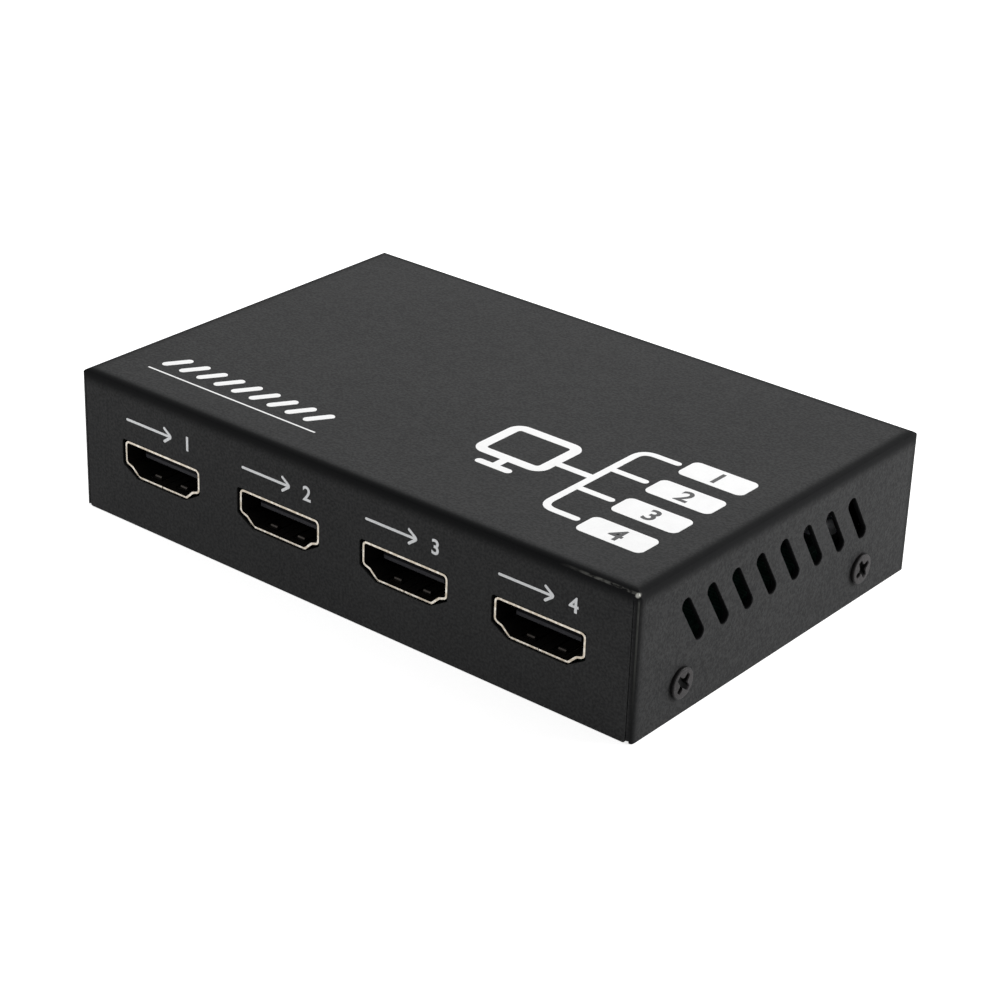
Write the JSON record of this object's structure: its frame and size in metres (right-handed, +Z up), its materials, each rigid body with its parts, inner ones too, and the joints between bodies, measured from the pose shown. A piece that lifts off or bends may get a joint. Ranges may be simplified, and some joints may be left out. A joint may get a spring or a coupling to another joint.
{
  "type": "video splitter",
  "caption": "Flat folded-steel video splitter box with a row of type A output sockets along one side, slanted end vents, and an input, power jack and slide switch behind.",
  "frame": {"origin": "middle of the underside, where the walls rest on the table", "axes": "+X along the row of outputs, from output 1 to output 4; +Y from the output side to the input side; +Z up"},
  "size_m": [0.0992, 0.064, 0.0213],
  "materials": {
    "powder_coat": "fine-grained black powder coat on steel sheet, satin",
    "black_screw": "black-plated steel screw, satin",
    "brass": "turned brass, satin",
    "bright_steel": "zinc-plated steel, bright",
    "board_laminate": "dark solder mask over glass laminate",
    "jack_plastic": "moulded black plastic, matt",
    "nickel_plate": "warm nickel plate on sprung sheet",
    "brown_laminate": "punched brown paper laminate",
    "tinned_leads": "tinned copper",
    "knob_plastic": "moulded black plastic, satin",
    "clear_lens": "clear green-tinted epoxy",
    "chip_resin": "moulded black resin, matt",
    "pad_rubber": "soft grey silicone pad",
    "black_anodising": "black anodised extruded aluminium",
    "ferrite": "pressed dark ferrite",
    "can_aluminium": "drawn aluminium can, satin",
    "ceramic": "fired ceramic with tinned ends",
    "socket_plastic": "glass-filled black plastic",
    "gold_plate": "gold-flashed contact"
  },
  "bodies": {
    "case": {"top_cover": "powder_coat", "base_plate": "powder_coat", "cover_screws": "black_screw", "board_standoffs": "brass", "board_screws": "bright_steel", "circuit_board": "board_laminate", "output_1_shell": "nickel_plate", "output_1_insulator": "socket_plastic", "output_1_contacts": "gold_plate", "output_2_shell": "nickel_plate", "output_2_insulator": "socket_plastic", "output_2_contacts": "gold_plate", "output_3_shell": "nickel_plate", "output_3_insulator": "socket_plastic", "output_3_contacts": "gold_plate", "output_4_shell": "nickel_plate", "output_4_insulator": "socket_plastic", "output_4_contacts": "gold_plate", "input_shell": "nickel_plate", "input_insulator": "socket_plastic", "input_contacts": "gold_plate", "power_jack_body": "jack_plastic", "power_jack_pin": "nickel_plate", "power_jack_spring": "nickel_plate", "switch_frame": "bright_steel", "switch_base": "brown_laminate", "switch_terminals": "tinned_leads", "indicator_housings": "jack_plastic", "indicator_lenses": "clear_lens", "indicator_leads": "tinned_leads", "splitter_chip": "chip_resin", "thermal_pad": "pad_rubber", "heat_sink": "black_anodising", "memory_chip": "chip_resin", "controller_chip": "chip_resin", "regulators": "chip_resin", "chip_leads": "tinned_leads", "power_inductors": "ferrite", "capacitor_cans": "can_aluminium", "capacitor_bases": "jack_plastic", "crystal_can": "bright_steel", "chip_parts": "ceramic"},
    "switch_slider": {"switch_knob": "knob_plastic", "switch_wiper": "nickel_plate"}
  },
  "joints": [
    {"name": "power_switch_slide", "type": "slide", "parent": "case", "child": "switch_slider", "axis": [1, 0, 0], "range_m": [0, 0.002]}
  ]
}
